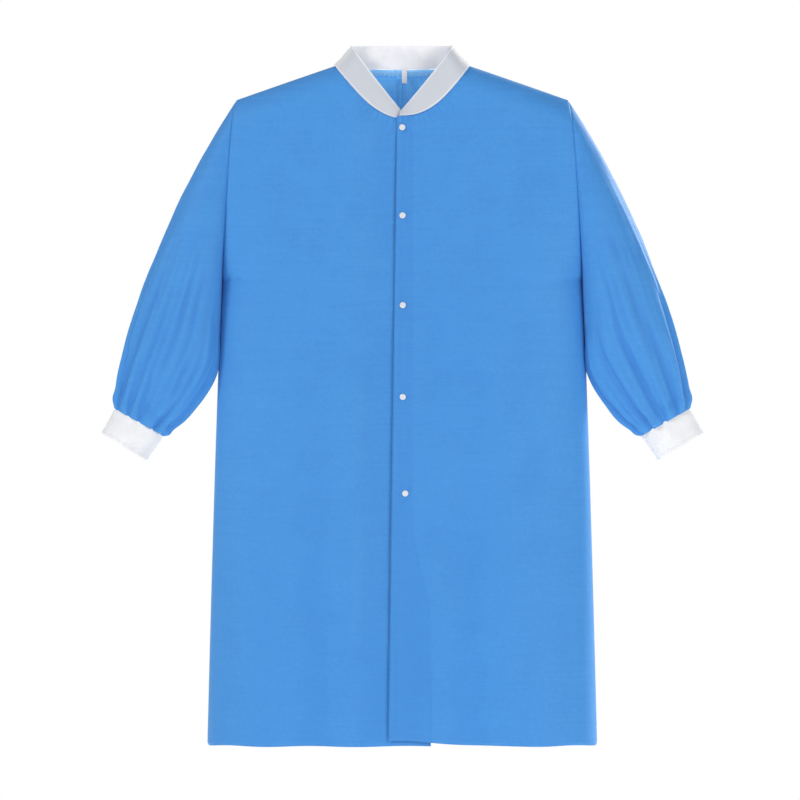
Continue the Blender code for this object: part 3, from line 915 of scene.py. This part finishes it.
def gather_by_simulation(obj, side):
    """Sew the full-width sleeve end to the narrow cuff: the spare cloth buckles into folds."""
    mesh = obj.data
    turns, places = ([item.value for item in mesh.attributes[name].data]
                     for name in ("turn", "along"))
    rows = [[] for _ in range(SLEEVE_ROWS + 1)]
    for index, along in enumerate(places):
        rows[round(along * SLEEVE_ROWS)].append(index)
    obj.shape_key_add(name="Basis")
    cut = obj.shape_key_add(name="flat_cut")
    cut.value = 0
    held = obj.vertex_groups.new(name="held")
    start = girth([mesh.vertices[i].co for i in sorted(rows[0], key=turns.__getitem__)])
    down = (Vector((side * CUFF_MIDDLE[0], 0, CUFF_MIDDLE[1]))
            - Vector((side * TIP_X, 0, ARMHOLE_MIDDLE_Z)))
    for number, row in enumerate(rows):
        row.sort(key=turns.__getitem__)
        along = number / SLEEVE_ROWS
        points = [mesh.vertices[i].co for i in row]
        middle = sum(points, Vector()) / len(points)
        widen = max(1.0, mix(start, CUT_END, along) / girth(points))
        slack = down.normalized() * (EXTRA_LENGTH - 1) * SLEEVE_RUN * smooth((along - 0.4) / 0.6)
        for index in row:
            cut.data[index].co = middle + (mesh.vertices[index].co - middle) * widen + slack
        grip = 1.0 if number >= SLEEVE_ROWS - 1 else 1 - smooth((along - 0.30) / 0.35)
        held.add(row, max(grip, 0.0), "REPLACE")
    cloth = obj.modifiers.new("cloth", "CLOTH")
    settings = cloth.settings
    settings.quality = 6
    settings.mass = 0.05
    settings.tension_stiffness = 25
    settings.compression_stiffness = 25
    settings.shear_stiffness = 12
    settings.bending_stiffness = 0.05
    settings.air_damping = 4
    settings.vertex_group_mass = held.name
    settings.rest_shape_key = cut
    settings.effector_weights.gravity = 0
    settings.use_pressure = True
    settings.uniform_pressure_force = 0.1
    cloth.collision_settings.use_collision = False
    cloth.point_cache.frame_start = 1
    cloth.point_cache.frame_end = SIM_FRAMES
    scene = bpy.context.scene
    for frame_number in range(1, SIM_FRAMES + 1):
        scene.frame_set(frame_number)
    shaped = bpy.data.meshes.new_from_object(obj.evaluated_get(
        bpy.context.evaluated_depsgraph_get()))
    obj.modifiers.remove(cloth)
    obj.shape_key_clear()
    obj.vertex_groups.clear()
    obj.data = shaped
    scene.frame_set(1)


def sleeve_cloth(side, cloth):
    depth = GATHER_DEPTH

    def place(u, v):
        return sleeve_form(side, u % 1.0, v, SLEEVE_SEED[side], depth)
    obj = grid_piece(f"{SIDE_NAME[side]}_sleeve_cloth", SLEEVE_COLUMNS, SLEEVE_ROWS, place,
                     None, cloth, flip=side < 0, closed=True, layers=armhole_painted_shadow)
    gather_by_simulation(obj, side)
    shade_hollows(obj, *SLEEVE_HOLLOWS)
    obj.modifiers.new("smooth", "SUBSURF").levels = 1
    thickness = obj.modifiers.new("thickness", "SOLIDIFY")
    thickness.thickness = CLOTH
    thickness.offset = -1
    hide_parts(f"{SIDE_NAME[side]}_sleeve")
    bend_with_arm(obj)


RIB_RISE = 0.10 * MM
CUFF_RIBS = 96
CUFF_TINT = 0.30
CUFF_TUCK = 0.05          # share of the cuff that starts inside the sleeve's end
COLLAR_RIBS = 16
COLLAR_COLUMNS = 260
SIDE_NECK = 0.42          # share of the collar half from the centre back to the side neck


def cuff_knit(side, yarn):
    """Rib knit tube: the ribs run along the wrist, the end is folded, the top is gathered in."""
    outer_top, inner_top = Vector(SLEEVE_OUTER[-1]), Vector(SLEEVE_INNER[-1])
    outer_end, inner_end = (Vector(point) for point in CUFF_END)
    lean = (outer_top - inner_top).normalized()

    def place(u, v, outer):
        angle = 2 * math.pi * u
        across = (1 - math.cos(angle)) / 2
        down = mix(-CUFF_TUCK, 1.0, v)
        point = outer_top.lerp(outer_end, down).lerp(inner_top.lerp(inner_end, down), across)
        bead = 0.8 * MM * smooth((v - 0.86) / 0.06) * (1 - 0.9 * smooth((v - 0.96) / 0.04))
        seam = -0.9 * MM * smooth((0.16 - v) / 0.12)
        fold = 0.6 * MM * math.sin(3 * angle + 2.0 * side) * (0.4 + 0.6 * v)
        push = bead + seam + fold
        push += RIB_RISE * math.cos(CUFF_RIBS * angle) if outer else -KNIT
        depth = math.sin(angle) * (CUFF_HALF_DEPTH + push)
        reach = math.cos(angle) * push
        return (side * (point.x + reach * lean.x), -depth, point.y + reach * lean.y)
    obj = shell_piece(f"{SIDE_NAME[side]}_cuff_knit", CUFF_RIBS * 6, 26, place, yarn,
                      flip=side < 0, closed=True, layers=lambda u, v: CUFF_TINT)
    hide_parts(f"{SIDE_NAME[side]}_cuff")
    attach(obj, f"{SIDE_NAME[side]}_arm")


# ---------------------------------------------------------------- collar

def collar_frame(side, along):
    """Foot and top of the band: along is 0 at the centre back and 1 in front."""
    if along < SIDE_NECK:
        x = NECK_X * math.sin(math.pi / 2 * along / SIDE_NECK) ** 0.92
        foot_z = back_neckline_z(x)
        foot = Vector((x, back_form(x, foot_z), foot_z + 0.3 * MM))
        rise = mix(COLLAR_TOP_Z, COLLAR_SIDE_Z, (x / NECK_X) ** 4)
        top = Vector((x * COLLAR_TOP_X / NECK_X, foot.y * COLLAR_LEAN, rise))
        return Vector((side * foot.x, foot.y, foot.z)), Vector((side * top.x, top.y, top.z))
    share = (along - SIDE_NECK) / (1 - SIDE_NECK)
    share = mix(share, 1 - math.cos(math.pi / 2 * share), 0.35)
    tip = COLLAR_TIP_X[side]
    x = mix(side * NECK_X, tip, share)
    neck = neckline_z(x, side)
    depth = front_form(x, neck) + (lap_step(x, neck) if side < 0 else 0.0)
    foot = Vector((x, depth, neck + 0.3 * MM))
    fall = (COLLAR_SIDE_Z - COLLAR_TIP_Z) * share ** 0.92
    top = Vector((mix(side * COLLAR_TOP_X, tip, share), foot.y * COLLAR_LEAN,
                  COLLAR_SIDE_Z - fall))
    return foot, top


def rolled_edge(v):
    """1 on the raised yarns along the two long edges of the band."""
    return max(bell(v - 0.97, 0.05), bell(v - 0.03, 0.05))


def collar_knit(side, yarn):
    def place(u, v, outer):
        foot, top = collar_frame(side, u)
        ahead = collar_frame(side, min(u + 0.01, 1.0))[0]
        behind = collar_frame(side, max(u - 0.01, 0.0))[0]
        out = ((top - foot).cross(ahead - behind) * side).normalized()
        push = 0.3 * MM * rolled_edge(v) + 0.6 * MM * math.sin(math.pi * v)
        push += KNIT + RIB_RISE * math.cos(2 * math.pi * COLLAR_RIBS * v) if outer else 0.0
        flare = 2.6 * MM * smooth((0.35 - v) / 0.35) * bell(foot.x - side * NECK_X, 0.03)
        wave = 0.7 * MM * math.sin(foot.x / 0.0065) * smooth(foot.y / 0.02) * (1 - v)
        return foot.lerp(top, v) + out * push + Vector((side * flare, 0, wave))

    # Darker, bluish grey on the front arms, half as much on the rolled edges
    def tint(u, v):
        front = smooth((u - 0.40) / 0.08)
        return 0.92 * front * (1 - 0.5 * rolled_edge(v))
    # The back band's inner face gets a painted glow that fades out towards the front arms
    obj = shell_piece(f"{SIDE_NAME[side]}_collar_knit", COLLAR_COLUMNS, COLLAR_RIBS * 5, place, yarn,
                      flip=side > 0, layers=tint, painted_glow=lambda u: 0.5 - 0.5 * smooth((u - 0.35) / 0.1))
    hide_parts(*(["collar_left", "collar_back"] if side > 0 else ["collar_right"]))
    bend_with_flap(obj)


# ---------------------------------------------------------------- inner seams and label

def zigzag(place, length, width, pitch):
    """Points that swing across a path: place(along) gives its centre and its cross direction."""
    count = int(length / pitch)
    points = []
    for step in range(count + 1):
        center, across = place(step / count)
        points.append(center + across * (width / 2 if step % 2 else -width / 2))
    return points


SCALLOP = 6.6 * MM        # pitch of the overlock stitches on the neck seam
NECK_TAPE = 8.5 * MM
SEAM_CLOTH = 0.5 * MM


def neck_seam(cloth, cotton):
    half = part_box("neck_tape")[1].x

    def place(u, v):
        x = mix(-half, half, u)
        z = back_neckline_z(x) - 1.0 * MM - NECK_TAPE * v
        wave = math.sin(2 * math.pi * x / SCALLOP)
        z += 0.6 * MM * wave * v
        return x, back_form(x, z) - CLOTH - 1.6 * MM + 0.3 * MM * wave * v, z
    tape = grid_piece("neck_seam_tape", 240, 8, place, SEAM_CLOTH, cloth, painted_glow=neck_painted_glow)
    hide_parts("neck_tape")
    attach(tape, "coat_body")

    def line(along):
        x = mix(-half + 1.0 * MM, half - 1.0 * MM, along)
        z = back_neckline_z(x) - 1.0 * MM - NECK_TAPE * 0.55
        return (Vector((x, back_form(x, z) - CLOTH - 2.6 * MM, z)), Vector((0, 0, 1)))
    stitches = thread("neck_overlock_thread", zigzag(line, 2 * half, 5.6 * MM, SCALLOP / 4),
                      0.45 * MM, cotton)
    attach(stitches, "coat_body")

    def tab(u, v):
        z = mix(-0.0045, -0.0115, v)
        x = mix(-0.0120, -0.0095, u) + 0.4 * MM * math.sin(4 * v)
        return x, back_form(x, z) - CLOTH - 3.4 * MM - 0.3 * MM * math.sin(5 * v), z
    tail = grid_piece("thread_tail_tab", 4, 12, tab, 0.3 * MM, cotton)
    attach(tail, "coat_body")


def back_seam(cloth, cotton):
    low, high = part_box("center_back_seam")

    def place(u, v):
        x = mix(low.x, high.x, u)
        z = mix(high.z, low.z, v)
        wave = 0.25 * MM * math.sin(z / 0.0035) * (1 - u)
        return x, back_form(x, z) - CLOTH - 2.6 * MM + wave, z
    tape = grid_piece("center_back_seam_tape", 6, 260, place, SEAM_CLOTH, cloth,
                      painted_glow=neck_painted_glow)
    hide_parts("center_back_seam")
    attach(tape, "coat_body")

    def line(along):
        z = mix(high.z - 1 * MM, low.z + 1 * MM, along)
        x = low.x + 2.2 * MM
        return Vector((x, back_form(x, z) - CLOTH - 3.6 * MM, z)), Vector((1, 0, 0))
    stitches = thread("back_overlock_thread", zigzag(line, high.z - low.z, 4.0 * MM, 1.8 * MM),
                      0.22 * MM, cotton)
    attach(stitches, "coat_body")


def label(fabric):
    """A blank satin loop, folded at the bottom and sewn into the neck seam."""
    low, high = LABEL
    middle_y = (low.y + high.y) / 2
    length = high.z - low.z
    loop = 1.1 * MM

    def place(u, v):
        x = mix(low.x, high.x, u)
        run = v * (2 * length + math.pi * loop)
        sway = 0.6 * MM * math.sin(math.pi * (u - 0.5) * 0.8)
        if run < length:
            return x, middle_y - loop + sway, high.z - run
        if run < length + math.pi * loop:
            angle = (run - length) / loop
            return x, middle_y - loop * math.cos(angle) + sway, low.z - loop * math.sin(angle)
        return x, middle_y + loop + sway, low.z + (run - length - math.pi * loop)
    obj = grid_piece("size_label_loop", 12, 70, place, 0.22 * MM, fabric)
    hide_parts("size_label")
    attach(obj, "label")


# ---------------------------------------------------------------- snaps

CAP_PROFILE = ((0, 1.35), (1.2, 1.25), (1.7, 0.95), (2.1, 0.95), (2.6, 1.45), (3.6, 1.40),
               (4.3, 1.10), (4.75, 0.65), (4.8, 0.3), (1.2, 0.3), (1.2, -2.9), (0, -2.9))
SOCKET_PROFILE = ((1.5, -2.4), (4.5, -2.4), (4.5, -3.5), (4.1, -4.0), (3.2, -4.0), (3.0, -3.7),
                  (2.7, -3.7), (2.4, -4.0), (2.4, -3.1), (1.5, -3.1), (1.5, -2.4))
STUD_PROFILE = ((0, -3.5), (1.5, -3.45), (1.9, -3.6), (2.1, -3.85), (1.9, -4.15), (2.0, -4.3),
                (4.2, -4.3), (4.5, -4.6), (4.5, -5.3), (1.5, -5.3), (1.5, -4.2), (0, -4.2))
BACK_PROFILE = ((0, -4.5), (1.2, -4.5), (1.2, -8.0), (4.5, -8.0), (4.5, -8.5), (4.2, -8.9),
                (2.0, -8.9), (1.8, -8.7), (0, -8.7))


def snap_matrix(x, drop):
    """The snap's frame: origin on the over front's face, Z along the outward normal."""
    step = 0.005
    z = -drop
    normal = Vector(((front_form(x + step, z) - front_form(x - step, z)) / (2 * step), -1.0,
                     (front_form(x, z + step) - front_form(x, z - step)) / (2 * step)))
    turn = normal.to_track_quat("Z", "Y").to_matrix().to_4x4()
    return Matrix.Translation((x, front_form(x, z) - 0.8 * MM, z)) @ turn


def snaps(plastic):
    kinds = (("cap", CAP_PROFILE, "left_flap"), ("socket", SOCKET_PROFILE, "left_flap"),
             ("stud", STUD_PROFILE, "right_flap"), ("back", BACK_PROFILE, "right_flap"))
    for number, (x, drop) in enumerate(SNAP_PLACES, start=1):
        for kind, profile, body in kinds:
            obj = turned(f"snap_{kind}_{number}_moulded", profile, snap_matrix(x, drop), plastic)
            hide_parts(f"snap_{kind}_{number}")
            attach(obj, body)


# ---------------------------------------------------------------- assembly

BLUE = (0.054, 0.262, 0.620)
BLUE_DEEP = (0.030, 0.165, 0.520)
BLUE_PALE = (0.068, 0.290, 0.640)
# A lighter copy of the blue for the inside faces and inside tapes: painted light, as if lit through the
# single layer
BLUE_INSIDE_LIT = (0.150, 0.480, 0.860)
PALE_EDGE = (0.230, 0.530, 0.840)
YARN = (0.88, 0.87, 0.865)
YARN_SHADE = (0.47, 0.50, 0.56)
PLASTIC = (0.64, 0.66, 0.69)
PLASTIC_SHADE = (0.52, 0.56, 0.62)
SATIN = (0.92, 0.92, 0.92)
SATIN_SHADE = (0.78, 0.78, 0.80)
PALE_THREAD = (0.50, 0.74, 0.93)
PALE_THREAD_SHADE = (0.34, 0.60, 0.88)
BLUE_THREAD = (0.07, 0.30, 0.66)
BLUE_THREAD_SHADE = (0.05, 0.22, 0.55)
SATIN_PITCH = 900
THREAD_PITCH = 1400

make_camera()
make_studio()
blue = nonwoven("blue_nonwoven", BLUE, BLUE_DEEP, BLUE_PALE)
white_knit = knit("white_rib_knit", YARN, YARN_SHADE)
plastic = moulded("snap_plastic_white", PLASTIC, PLASTIC_SHADE)
satin = woven("label_satin", SATIN, SATIN_SHADE, SATIN_PITCH)
cotton = woven("pale_thread", PALE_THREAD, PALE_THREAD_SHADE, THREAD_PITCH)
blue_thread = woven("blue_thread", BLUE_THREAD, BLUE_THREAD_SHADE, THREAD_PITCH)
# The cloth's inside wears the lit copy of the blue, with the painted glow on top
blue_inside_lit = nonwoven("blue_nonwoven_inside_lit", BLUE_INSIDE_LIT, BLUE, BLUE_INSIDE_LIT)
pale_blue = nonwoven("seam_allowance", PALE_EDGE, BLUE_INSIDE_LIT, PALE_EDGE)

for side in (1, -1):
    front_cloth(side, blue)
    facing_cloth(side, blue)
    back_cloth(side, blue, blue_inside_lit)
    sleeve_cloth(side, blue)
    cuff_knit(side, white_knit)
    collar_knit(side, white_knit)
neck_seam(pale_blue, cotton)
back_seam(blue_inside_lit, blue_thread)
label(satin)
snaps(plastic)
